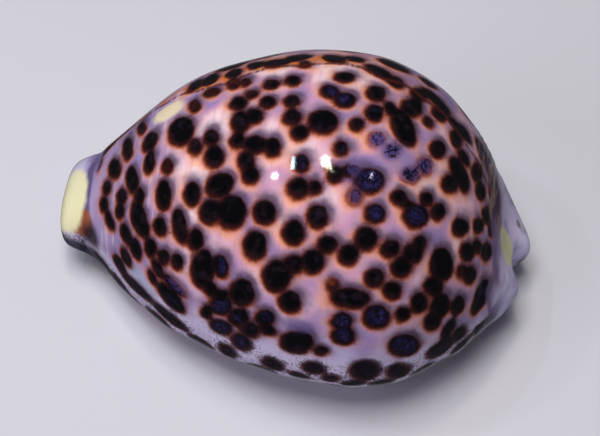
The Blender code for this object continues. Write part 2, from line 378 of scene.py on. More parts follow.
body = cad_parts["cowrie_shell"]
copy = bmesh.new()
copy.from_mesh(body.data)
bmesh.ops.remove_doubles(copy, verts=copy.verts, dist=1e-6)
merged = bpy.data.meshes.new("merged_body")
copy.to_mesh(merged)
copy.free()
carrier = bpy.data.objects.new("net_carrier", merged)
bpy.context.scene.collection.objects.link(carrier)
net = carrier.modifiers.new("even_net", "REMESH")
net.mode = "VOXEL"
net.voxel_size = NET * MM
skin = bpy.data.meshes.new_from_object(carrier.evaluated_get(bpy.context.evaluated_depsgraph_get()))
bpy.data.objects.remove(carrier)
bpy.data.meshes.remove(merged)
print("net:", len(skin.polygons), "squares")

# %% Settle the net, ease it, and settle it again
EASE_ROUNDS = 2


def places(vertices):
    """Where the vertices are, in millimetres."""
    return np.array([vertex.co[:] for vertex in vertices]) / MM


def move(vertices, points):
    """Put each vertex at its point, given in millimetres."""
    for vertex, point in zip(vertices, points * MM):
        vertex.co = point


shell = bmesh.new()
shell.from_mesh(skin)
move(shell.verts, settle(places(shell.verts)))
for _ in range(EASE_ROUNDS):
    bmesh.ops.smooth_vert(shell, verts=shell.verts, factor=0.5, use_axis_x=True, use_axis_y=True,
                          use_axis_z=True)
settled = settle(places(shell.verts))
move(shell.verts, settled)
print("furthest from the field, mm:", round(float(np.abs(shell_field(settled)).max()), 3))

# %% Cut the lips finer, so that each tooth has enough squares
# how far past the rounding of the lips, how high, and how far from the middle along x
LIP_ZONE = (4.0, 7.0, 34.5)
SETTLE_ZONE = (4.6, 7.6, 35.2)


def in_zone(points, beyond, high, half_length):
    """Whether each point lies in a zone round the lips."""
    _, beside, radius = slit_field(points)
    return (beside < radius + beyond) & (points[:, 2] < high) & (np.abs(points[:, 0]) < half_length)


on_lips = in_zone(settled, *LIP_ZONE)
shell.verts.ensure_lookup_table()
lip_edges = [edge for edge in shell.edges if all(on_lips[vertex.index] for vertex in edge.verts)]
bmesh.ops.subdivide_edges(shell, edges=lip_edges, cuts=1, use_grid_fill=True)
cut = places(shell.verts)
round_lips = in_zone(cut, *SETTLE_ZONE)
cut[round_lips] = settle(cut[round_lips])
move(shell.verts, cut)
shell.to_mesh(skin)
shell.free()
skin.update()
triangles = sum(len(face.vertices) - 2 for face in skin.polygons)
print("skin:", len(skin.vertices), "points,", triangles, "triangles")

# %% [markdown]
# ## The spots
# The mantle, two flaps of the animal's skin, lays the spots down from both sides, one
# thin coat over another. So each spot is nearly black in its middle, rusty along the
# edge that was covered first, and smoky along the other, where later glaze half hides it.
# A repeating texture would scatter spots anywhere. Here each one has a place on the
# shell: a row of a table for those on the back and the near flank, and a scattered place
# for those lower down. Every point of the skin is then told how far it lies from the
# nearest edge, so the material only has to turn that distance into paint.

# %% Where a spot sits: a place along the shell and a turn round it
def on_back(x, girth):
    """Points of the outside at length places and at turns in degrees: 90 is the top."""
    angle = end_angle(x)
    turned = np.radians(girth)
    power = np.where(np.sin(turned) >= 0, BACK_POWER, BASE_POWER)
    share = (np.abs(np.cos(turned)) ** power + np.abs(np.sin(turned)) ** power) ** (-1 / power)
    height = np.where(np.sin(turned) >= 0, rise_at(angle), drop_at(angle))
    return np.stack([x, middle_at(angle) + width_at(angle) * share * np.cos(turned),
                     waist_at(angle) + height * share * np.sin(turned)], axis=1)


def outside_field(points):
    """How far each point is outside the plain egg, in millimetres."""
    return in_millimetres(egg_field, points)


THINNEST = 0.3          # keeps a turn from dividing by nought at the very ends


def girth_of(points):
    """The turn round the shell, in degrees from the top: the near side is positive."""
    angle = end_angle(points[:, 0])
    up = points[:, 2] - waist_at(angle)
    height = np.maximum(np.where(up >= 0, rise_at(angle), drop_at(angle)), THINNEST)
    across = (points[:, 1] - middle_at(angle)) / np.maximum(width_at(angle), THINNEST)
    return (np.degrees(np.arctan2(up / height, across)) - 90 + 180) % 360 - 180


top, near = on_back(np.zeros(2), np.array([90.0, 180.0]))
print("halfway along, the top and the near side are at, mm:", top.round(1), near.round(1))

# %% The spots that give this shell its look
# place along, turn round, length, breadth, tilt, and how far it is veiled with violet
# glaze (up to 1) or left thin and rusty (down to -1)
# Nearly all of these rows were worked out by a separate helper program from spots marked
# by eye, so they aren't numbers chosen by hand.
SPOTS = [
    (-12.5, 125, 3.7, 3.4, 0, 0), (-9, 124, 5.2, 5, -5, 0), (-3.5, 123, 3.7, 3.5, -65, 0),
    (-4.5, 134, 4.4, 3.6, 85, 0), (1.5, 128, 3.6, 3.1, -85, 0), (5, 122, 3.5, 2.9, -85, 0.1),
    (-0.5, 143, 5.1, 4.1, 80, 0), (2, 151, 3.9, 3.1, 75, 0), (-6, 152, 5.2, 3.9, 65, 0),
    (5, 136, 3.6, 3.3, 80, 0.2), (2, 138, 3, 2.7, 35, 0), (7, 130, 2.7, 2.5, 15, 0),
    (10.5, 132, 2.7, 2.7, -75, 0), (13, 126, 3.3, 3.3, -15, 0), (1.5, 114, 3.1, 2.9, -20, 0.1),
    (4, 113, 2, 1.9, -55, 0.2), (1.5, 106, 2.9, 2.1, -80, 0.6), (7, 108, 2.5, 2.2, -80, 0.2),
    (12.5, 108, 4.6, 3.9, 20, 0.8), (9.5, 106, 2.8, 1.7, -5, 0.9), (-11.5, 115, 4.7, 3.8, 10, 0),
    (4, 90, 4.7, 4.4, -50, 0.2), (9.5, 89, 2.4, 1.9, 85, -0.2), (12, 83, 3.3, 2.6, 75, 0.5),
    (12, 74, 3.7, 2.6, 75, 0), (6.5, 69, 2.9, 2.5, 35, 0), (4.5, 77, 3.1, 2.3, -50, 0.8),
    (7, 80, 3, 2.9, 60, 0.7), (-2, 72, 2.5, 2, -45, 0), (-5.5, 73, 2.6, 1.9, -45, -0.2),
    (-5.5, 82, 2.7, 2, -55, 0), (-1.5, 82, 2.6, 2.1, -60, 0), (-1, 89, 3.1, 2.4, -70, 0.1),
    (0.5, 95, 2.6, 2.3, -45, 0.1), (-10.5, 81, 3.2, 2.2, -55, 0), (-7.5, 88, 3.3, 2.5, -35, 0),
    (-9.5, 90, 4.3, 2.7, -70, 0), (-9.5, 98, 2.8, 2.2, -60, 0), (-6.5, 100, 4.1, 2.9, -15, 0),
    (-3.5, 101, 3.1, 2.3, -70, 0.4), (-7.5, 106, 3.1, 2.5, -60, 0), (-6.5, 111, 2.6, 2.3, -50, 0.1),
    (-14, 96, 3.1, 2.3, -50, -0.1), (-13, 104, 3.8, 2.8, -60, 0), (-16.5, 99, 2.8, 1.9, -55, -0.1),
    (-19.5, 90, 6.4, 4.4, -55, 0.1), (17, 85, 7, 3.8, -70, 0), (14.5, 79, 2.9, 1.7, -80, 0.5),
    (18, 74, 5.2, 3, 60, 0), (23, 67, 5.5, 2.3, 65, 0), (19, 65, 3.9, 2.4, 65, 0),
    (15, 64, 3.2, 2.3, 75, 0), (26, 75, 3.8, 2.5, 75, 0), (27, 66, 3.2, 2.5, 30, 0),
    (23, 87, 3.7, 2.3, 55, -0.5), (7.5, 99, 2.3, 1.9, -85, 0.4), (13, 93, 2.4, 2, 60, 1),
    (15.5, 96, 2.6, 2, 40, 1), (19, 102, 3.1, 2.1, 30, 1), (21, 97, 3, 2.2, 50, 1),
    (14, 118, 2.9, 2.8, 30, 0.8), (20.5, 116, 4.3, 3.5, 15, 0.8), (24, 112, 3, 2.2, 25, -0.1),
    (22, 109, 2.4, 1.9, 35, -0.1), (17.5, 111, 2.4, 2.1, 35, 0.1), (19, 113, 1.8, 1.2, 0, -0.3),
    (25.5, 99, 3.6, 2.4, 40, 0.1), (27, 92, 6, 4.1, -40, 0), (27.5, 82, 2.9, 2.5, -10, -0.2),
    (30, 82, 4.4, 2.4, 60, 0), (31, 90, 3.5, 2.6, 50, 0), (28, 115, 3.9, 2.4, 15, 0.3),
    (31, 110, 3.3, 2.1, 25, 0.1), (29.5, 125, 3.6, 2.6, -5, -0.3), (33, 121, 3.9, 2.7, 5, 0),
    (31, 121, 2.8, 2, 5, 0.1), (30.5, 136, 3.7, 2.4, -20, -0.2), (29, 134, 2.4, 1.6, -15, -0.6),
    (25.5, 132, 5.6, 4.5, -55, 0), (24.5, 141, 4, 2.7, -25, 0), (20.5, 129, 3.4, 2.9, -10, 0),
    (21.5, 125, 2.5, 2.1, 20, 0.4), (17, 128, 2.8, 2.4, -5, -0.1), (19, 134, 3.3, 2.9, -25, 0),
    (15, 138, 2.9, 2.7, -50, 0.2), (18, 142, 3, 2.5, -45, 0), (22.5, 147, 3.6, 2.6, -50, 0),
    (20, 151, 2.6, 1.9, -50, 0), (26, 150, 4.6, 3.5, -50, 0), (29, 152, 3.9, 2.7, -50, 0),
    (25, 157, 4.2, 2.4, -50, 0.2), (11.5, 146, 5.9, 3.2, 0, 0.1),
    (16, 152, 4.5, 3.8, -55, 0.8), (10.5, 155, 3.2, 3, 75, 0.8), (11, 161, 3.8, 3.2, 90, 0.6),
    (3.5, 168, 6.3, 4.5, 60, 0.1), (21, 167, 6.8, 4, -50, 0.7), (27, 180, 5.4, 3.6, -45, 0),
    (-0.5, 188, 3.6, 2.9, -80, 0), (6.5, 182, 3.4, 2.9, 65, 0), (9.5, 190, 2.6, 1.8, 65, 0),
    (15, 180, 6.5, 4.1, -80, 0), (20.5, 186, 5.4, 2.9, -65, 0), (-8.5, 192, 4, 2.4, 85, -0.2),
    (7.5, 170, 2.3, 1.8, 40, -0.4), (-9.5, 160, 4.8, 3.1, 55, 0.8), (-9.5, 155, 3.2, 1.5, 30, 0),
    (-9.5, 172, 4.2, 3.2, 55, 0.8), (-6, 177, 4.3, 3, 80, 0.7), (-6.5, 163, 4.5, 2.9, 65, 0.4),
    (-4.5, 168, 4.1, 2.5, 65, 0.2), (-2, 160, 3.8, 2.7, 65, 0.5), (-1.5, 165, 2.4, 2.2, 40, 0.1),
    (-13, 147, 6.9, 3.9, 85, 0), (-11.5, 154, 2.8, 2.2, -75, -0.1), (-10, 144, 3.7, 2.7, -80, 0.6),
    (-12, 166, 3.3, 1.6, 75, -0.3), (-21, 120, 4.8, 2.9, -70, 0), (-16, 119, 3.7, 2.7, -75, 0),
    (-21, 107, 2.6, 1.8, -55, -0.6), (-25, 90, 3.8, 3.2, -65, -0.1), (-24.5, 103, 4, 2.3, -75, 0),
    (-29.5, 85, 6.1, 2.2, -65, 0), (-27.5, 111, 5.1, 2.8, -55, 0), (-25.5, 121, 2.9, 2.1, -55, 0),
    (-31.5, 98, 5, 2.6, -45, 0), (-32.5, 113, 2.8, 2, -40, 0.1), (-29, 121, 2.7, 2.3, -25, 0),
    (-29, 130, 2.6, 2.2, 20, 0.1), (-32.5, 127, 2.7, 2, -20, 0.2), (-31, 138, 3.3, 1.9, -35, 0.1),
    (-25, 133, 6.2, 3.8, -50, 0), (-17.5, 132, 5.4, 2.6, -65, 0), (-21, 134, 2.8, 2.6, 85, -0.1),
    (-14.5, 136, 3.3, 2.6, -85, 0), (-25.5, 149, 3.6, 2.9, -75, 0), (-27.5, 143, 3.4, 2.6, -45, 0),
    (-22.5, 145, 3.1, 2.5, 75, -0.1), (-20, 147, 2.9, 2.2, 50, -0.4), (-17.5, 147, 2.6, 2, 80, -0.1),
    (-18.5, 167, 6.1, 4.1, -40, 0.3), (-18, 159, 5, 2, -25, 0.9), (-21, 154, 3.3, 2.1, -45, -0.1),
    (-22, 160, 2.4, 1.6, -60, -0.5), (-27.5, 158, 3.1, 2.8, -45, 0.1), (-29, 168, 3.5, 3, -5, 0),
    (-25.5, 176, 7.7, 2.9, 5, 0.2), (-19, 184, 6.5, 3, -10, 0), (33, 151, 5.7, 4.2, 55, 0.3),
    (28, 165, 3.8, 2.5, 80, 0.2), (30, 175, 4, 2.3, -65, 0.3), (34, 190, 5.2, 2.9, -40, 0.4),
    (28, 176, 4.7, 2.3, -70, 0), (33, 82, 2.7, 2, 85, 0), (34, 88, 3.9, 2.1, 90, 0),
    (32.5, 100, 3.9, 2.5, 40, 0.3), (33.5, 106, 2.6, 2, 40, 0.1), (34, 71, 6.7, 2.7, -10, -0.3),
    (35.5, 74, 4, 2.1, 40, 0), (30.5, 65, 4.6, 3.1, -55, 0), (-12.5, 60, 3.4, 2.4, -75, 0),
    (-16.5, 59, 4.3, 2.8, -85, 0), (-9, 57, 3.1, 2.4, -40, 0), (-5.5, 59, 4.8, 2.6, -20, 0),
    (-2, 56, 4.4, 3.2, 20, 0), (4, 56, 4, 2.9, -50, 0), (7.5, 54, 3.2, 2.2, -25, 0),
    (12, 61, 5.1, 2.5, -35, 0), (22, 61, 6.1, 2.8, -10, 0), (26.5, 67, 5.7, 2.2, -5, 0),
    (-19, 59, 4.5, 2.3, -80, 0), (-12, 68, 3.3, 1.8, -65, -0.6), (-10, 69, 2.1, 1.1, -65, -0.6),
    (-0.5, 62, 2.4, 1.3, -80, -0.6), (-15.5, 71, 2.9, 2, -35, -0.6), (-18, 77, 3.3, 1.6, -65, -0.6),
    (-8.5, 77, 2.3, 1.7, -20, -0.5), (21, 77, 2.1, 1.5, 70, -0.6), (-36, 75, 5.4, 1.8, -50, 0.1),
    (-33.5, 60, 7, 1.8, 15, 0), (-29.5, 52, 6, 1.6, 15, -0.1), (-27.5, 73, 4.3, 1.3, -65, -0.5),
    (8.5, 142, 1.8, 1.4, -90, -0.88), (10.5, 114, 2.2, 1.6, -85, 0.9),
]
print(len(SPOTS), "placed spots")

# %% More spots for the flanks, scattered with room between them
sowing = np.random.default_rng(85)
FLANKS = ((-24.0, 52.0), (192.0, 214.0))      # the turns of the far flank and of the low near one
SOWN_ALONG = (-33.5, 32.5)
LENGTHS, BREADTH_SHARES, TILTS, TONES = (2.6, 5.4), (0.6, 0.95), (-30, 30), (-0.2, 0.3)
TRIES = 1100
ROOM = 0.9

scattered = []
for _ in range(TRIES):
    low, high = FLANKS[int(sowing.integers(2))]
    x, girth = sowing.uniform(*SOWN_ALONG), sowing.uniform(low, high)
    long = sowing.uniform(*LENGTHS)
    broad = long * sowing.uniform(*BREADTH_SHARES)
    fresh = (x, girth, long, broad, sowing.uniform(*TILTS), sowing.uniform(*TONES))
    others = np.array(SPOTS + scattered)
    apart = on_back(others[:, 0], others[:, 1]) - on_back(*np.array([[x], [girth]]))
    needed = (others[:, 2] + others[:, 3] + long + broad) / 4 + ROOM
    if (np.linalg.norm(apart, axis=1) > needed).all():
        scattered.append(fresh)
print(len(scattered), "scattered spots")

# %% Which way each spot faces and lies
# the edge that was covered first looks to the front and the near side
RUSTY_ALONG, RUSTY_AROUND = -0.5, -0.85

rows = np.array(SPOTS + scattered)
centres = settle(on_back(rows[:, 0], rows[:, 1]), outside_field)
facing = slope_of(outside_field, centres, outside_field(centres))
facing /= np.linalg.norm(facing, axis=1, keepdims=True)
along = np.array([1.0, 0, 0]) - facing * facing[:, :1]
along /= np.linalg.norm(along, axis=1, keepdims=True)
around = np.cross(facing, along)
tilts = np.radians(rows[:, 4:5])
longwise = along * np.cos(tilts) + around * np.sin(tilts)
crosswise = np.cross(facing, longwise)
rusty = RUSTY_ALONG * along + RUSTY_AROUND * around
print(len(rows), "spots laid on the skin")

# %% Tell every point how far it is from a spot, and on which side of it
FAR_OFF = 6.0
EDGE_BLEND, TONE_BLEND = 0.25, 0.45       # how softly two spots that touch run together
SAME_WAY = 0.1                            # leaves out the wall of the hollow behind a spot
MIDDLE_BLEND = 0.4                        # softens the side right at a spot's middle
TINY = 1e-6

points = places(skin.vertices)
normals = np.array([vertex.normal[:] for vertex in skin.vertices])
edge_sum = np.full(len(points), math.exp(-FAR_OFF / EDGE_BLEND))
weights = np.full(len(points), 1e-9)
sides = np.zeros(len(points))
tones = np.zeros(len(points))
for i, (_, _, long, broad, _, tone) in enumerate(rows):
    away = points - centres[i]
    in_reach = (away ** 2).sum(axis=1) < (long / 2 + FAR_OFF) ** 2
    close = np.flatnonzero(in_reach & (normals @ facing[i] > SAME_WAY))
    away = away[close]
    u, v = away @ longwise[i], away @ crosswise[i]
    inner = np.hypot(u / (long / 2), v / (broad / 2)) + TINY
    slope = np.hypot(u / (long / 2) ** 2, v / (broad / 2) ** 2) + TINY
    distance = np.clip(inner * (inner - 1) / slope, -broad / 2, FAR_OFF)
    share = np.exp(-distance / TONE_BLEND)
    reach = np.linalg.norm(away, axis=1) + MIDDLE_BLEND
    edge_sum[close] += np.exp(-distance / EDGE_BLEND)
    weights[close] += share
    sides[close] += share * (away @ rusty[i]) / reach
    tones[close] += share * tone
edge = -EDGE_BLEND * np.log(edge_sum)
side = sides / weights
tone = tones / weights
print("share of the skin under spots:", round(float((edge < 0).mean()), 2))

# %% The line where the two mantle flaps met, and the wall of the hollow
# place along, and turn from the far side: 90 is the top
MANTLE_LINE = np.array((
    (-26.0, 62.0), (-18.0, 66.0), (-12.0, 66.3), (-8.0, 63.0), (-1.4, 63.0), (7.7, 61.0),
    (12.0, 64.6), (17.4, 64.0), (21.0, 66.6), (24.8, 68.3), (29.0, 75.0), (34.0, 86.0)))
GIRTH_RADIUS = 27.0         # turns degrees round the shell into millimetres past the line
HOLLOW_BLEND = 1.6

mantle_at = fair_curve(MANTLE_LINE[:, 0], MANTLE_LINE[:, 1])
turned = girth_of(points)
line_turn = mantle_at(np.clip(points[:, 0], MANTLE_LINE[0, 0], MANTLE_LINE[-1, 0])) - 90
past_line = (line_turn - turned) * math.radians(1) * GIRTH_RADIUS
inside = np.clip(0.5 - in_millimetres(hollow_field, points) / HOLLOW_BLEND, 0, 1)
print("share of the skin past the line:", round(float((past_line > 0).mean()), 2))

# %% Keep these values on the points, for the material to read
def keep(name, values):
    """Three values for each point, under one name."""
    data = skin.attributes.new(name, "FLOAT_VECTOR", "POINT").data
    data.foreach_set("vector", np.stack(values, axis=1).astype(np.float32).ravel())


keep("spot", [edge, side, tone])
keep("place", [past_line, turned, inside])
print(len(points), "points keep their spot and their place")

# %% Keep the skin inside the frame's box, and make it a piece
lowest, highest = points.min(axis=0) * MM, points.max(axis=0) * MM
for axis in range(3):
    walls = ((cad_box[0][axis], lowest[axis]), (cad_box[1][axis], highest[axis]))
    # the resting face lies at nought, so it limits nothing
    fit = min(wall / reach for wall, reach in walls if abs(wall) > TINY)
    if fit < 1:
        points[:, axis] *= fit
        print("drawn in along", "xyz"[axis], "by", round((1 - fit) * 100, 3), "per cent")
points[:, 2] = np.maximum(points[:, 2], 0)
skin.vertices.foreach_set("co", (points * MM).astype(np.float32).ravel())
skin.shade_smooth()
skin.update()

piece = bpy.data.objects.new("glazed_shell", skin)
bpy.context.scene.collection.objects.link(piece)
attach(piece, "root")
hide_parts("cowrie_shell")
print("piece:", piece.name, "with", len(skin.polygons), "faces")

# %% [markdown]
# ## The glaze
# The skin is aragonite, a hard crystal form of lime, laid down in sheets so fine that
# it is as smooth as glazed porcelain. That gives the eye a sharp, clear highlight over
# a milky, slightly see-into body, and spots that look sunk under the surface.
# An image could be painted for it. Nodes do the same work at any size: they read the
# distance kept on each point, disturb it a little, and lay coats of paint one by one.

# %% Paint from hex values, and one helper that adds a node
def paint(code):
    """A linear colour from an sRGB hex value."""
    parts = [int(code[i:i + 2], 16) / 255 for i in (1, 3, 5)]
    return [part / 12.92 if part <= 0.04045 else ((part + 0.055) / 1.055) ** 2.4 for part in parts] + [1.0]


glaze = bpy.data.materials.new("aragonite_enamel")
glaze.use_nodes = True
tree = glaze.node_tree
tree.nodes.clear()


# Sockets are told by name, or by number where a node repeats a name. Map Range has the
# value in 0, the two ends it reads in 1 and 2, and the two ends it gives in 3 and 4.
def add_node(kind, feeds, **settings):
    """A node with its settings, fed with values or with other nodes' outputs."""
    fresh = tree.nodes.new(kind)
    for name, value in settings.items():
        setattr(fresh, name, value)
    for socket, value in feeds.items():
        if isinstance(value, bpy.types.NodeSocket):
            tree.links.new(value, fresh.inputs[socket])
        else:
            fresh.inputs[socket].default_value = value
    return fresh


print("material:", glaze.name)

# %% Where the skin is, in millimetres
shell_place = add_node("ShaderNodeTexCoord", {}).outputs["Object"]
in_mm = add_node("ShaderNodeVectorMath", {0: shell_place, "Scale": 1 / MM}, operation="SCALE").outputs[0]
x_mm, y_mm, z_mm = add_node("ShaderNodeSeparateXYZ", {0: in_mm}).outputs
spot = add_node("ShaderNodeAttribute", {}, attribute_name="spot").outputs["Vector"]
spot_edge, spot_side, spot_tone = add_node("ShaderNodeSeparateXYZ", {0: spot}).outputs
place = add_node("ShaderNodeAttribute", {}, attribute_name="place").outputs["Vector"]
line_mm, round_deg, within = add_node("ShaderNodeSeparateXYZ", {0: place}).outputs
print(len(tree.nodes), "nodes read where the skin is")

# %% Clouds of several real sizes
# Growth streaks are narrow along the shell and drawn out round it.
STREAK_STRETCH = (1.6, 0.16, 0.16)
streak_place = add_node("ShaderNodeMapping", {"Vector": in_mm, "Scale": STREAK_STRETCH}).outputs[0]
# place read, size in mm, detail, roughness
# The grain is drawn coarser than the real one, which the eye can't part.
CLOUDS = {"broad": (in_mm, 10.0, 1.5, 0.5), "middling": (in_mm, 4.0, 1.5, 0.5),
          "wobble": (in_mm, 2.0, 2.0, 0.5), "grain": (in_mm, 0.5, 2.0, 0.6),
          "speck": (in_mm, 0.42, 2.0, 0.6), "streak": (streak_place, 1.0, 3.0, 0.6)}
cloud = {}
for name, (spread, size, detail, rough) in CLOUDS.items():
    made = add_node("ShaderNodeTexNoise", {"Vector": spread, "Scale": 1 / size, "Detail": detail,
                                           "Roughness": rough})
    cloud[name] = add_node("ShaderNodeMath", {0: made.outputs[0], 1: 0.5}, operation="SUBTRACT").outputs[0]
print(len(cloud), "clouds:", ", ".join(cloud))

# %% Fine cracks, as in the veil over some spots
# sizes in mm; the cells are torn out of shape by a noise of about their own size
TEAR_SIZE, TEAR_REACH, CELL_SIZE = 1.6, 1.8, 1.7
torn = add_node("ShaderNodeTexNoise", {"Vector": in_mm, "Scale": 1 / TEAR_SIZE, "Detail": 2.0}).outputs[1]
torn_place = add_node("ShaderNodeVectorMath", {0: torn, 1: (TEAR_REACH,) * 3, 2: in_mm},
                      operation="MULTIPLY_ADD").outputs[0]
cells = add_node("ShaderNodeTexVoronoi", {"Vector": torn_place, "Scale": 1 / CELL_SIZE},
                 feature="DISTANCE_TO_EDGE").outputs[0]
print("cracks round cells of, mm:", CELL_SIZE)

# %% Measures: sums of readings that say how much of a coat lies here
uneven = ((cloud["wobble"], 0.8), (cloud["grain"], 0.10))
SUMS = {
    "core": ((spot_edge, 1.0), *uneven),
    "deep": ((spot_edge, 1.0), (spot_side, 0.25), *uneven),
    "rust": ((spot_edge, 1.0), (spot_side, -0.40), *uneven),
    "glow": ((spot_edge, 1.0), (spot_side, -1.0), (cloud["middling"], 1.2)),
    "warm": ((spot_edge, 1.0), (spot_side, -1.2), (cloud["middling"], 5.0)),
    "smoke": ((spot_edge, 1.0), (spot_side, 0.9), (cloud["wobble"], 1.6)),
    "veil": ((spot_tone, 1.0), (cloud["wobble"], 1.5), (spot_edge, -0.2)),
    "thin": ((spot_tone, -1.0), (cloud["wobble"], 0.4)),
    "front": ((x_mm, -1.0), (y_mm, 0.05), (cloud["middling"], 1.6), (cloud["broad"], 2.0)),
    "rear": ((x_mm, 1.0), (y_mm, 0.17), (cloud["middling"], 2.4), (cloud["broad"], 8.0)),
    "line": ((line_mm, 1.0), (cloud["middling"], 2.4)),
    "low": ((z_mm, -1.0), (cloud["middling"], 2.0)),
    "near": ((round_deg, 1.0), (cloud["middling"], 14.0)),
    "far": ((round_deg, -1.0), (cloud["middling"], 14.0)),
    "within": ((within, 1.0),),
    "tone": ((spot_tone, 1.0),),
    "cracks": ((cells, 1.0), (cloud["grain"], 0.1)),
    **{name: ((reading, 1.0),) for name, reading in cloud.items()},
}
# oddness: how thin or how veiled a spot is, whichever of the two
measure = {"oddness": add_node("ShaderNodeMath", {0: spot_tone}, operation="ABSOLUTE").outputs[0]}
for name, terms in SUMS.items():
    total = 0.0
    for reading, share in terms:
        total = add_node("ShaderNodeMath", {0: reading, 1: share, 2: total},
                         operation="MULTIPLY_ADD").outputs[0]
    measure[name] = total
print(len(measure), "measures")

# %% Patches that stand alone, each measured from its own middle
# middle and half sizes in mm: a patch's measure is 0 in its middle and 1 at its edge
PATCHES = {
    # the front, back and rear cream patches are painted highlights over pale shell
    "front_pale_highlight": ((-40.8, -0.3, 16.6), (5.2, 6.2, 6.4)),
    "front_brown": ((-37.0, -4.4, 16.2), (3.0, 2.4, 3.0)),
    "front_dark": ((-35.0, -6.4, 15.2), (2.6, 2.8, 3.4)),
    "flank_pale": ((-24.9, -16.6, 17.6), (5.5, 4.5, 4.2)),
    "back_pale_highlight": ((-22.8, 6.9, 35.9), (4.6, 2.6, 3.4)),
    "near_smear": ((3.5, -27.1, 28.6), (4.0, 1.6, 1.9)),
    "crown_smoke": ((10.5, -8.3, 46.4), (4.2, 2.8, 3.0)),
    "crown_haze": ((16.2, -4.4, 45.8), (4.6, 3.4, 3.4)),
    "rear_pale_highlight": ((36.9, -1.5, 18.6), (3.4, 2.9, 5.6)),
    "rear_dot": ((39.1, 5.6, 15.6), (0.9, 1.1, 1.1)),
    "rear_brown": ((41.2, 2.2, 7.6), (1.6, 1.4, 1.6)),
}
for name, (centre, halves) in PATCHES.items():
    offset = add_node("ShaderNodeVectorMath", {0: in_mm, 1: centre}, operation="SUBTRACT").outputs[0]
    scaled = add_node("ShaderNodeVectorMath", {0: offset, 1: halves}, operation="DIVIDE").outputs[0]
    length = add_node("ShaderNodeVectorMath", {0: scaled}, operation="LENGTH").outputs["Value"]
    measure[name] = add_node("ShaderNodeMath", {0: cloud["wobble"], 1: 0.2, 2: length},
                             operation="MULTIPLY_ADD").outputs[0]
print(len(PATCHES), "patches")

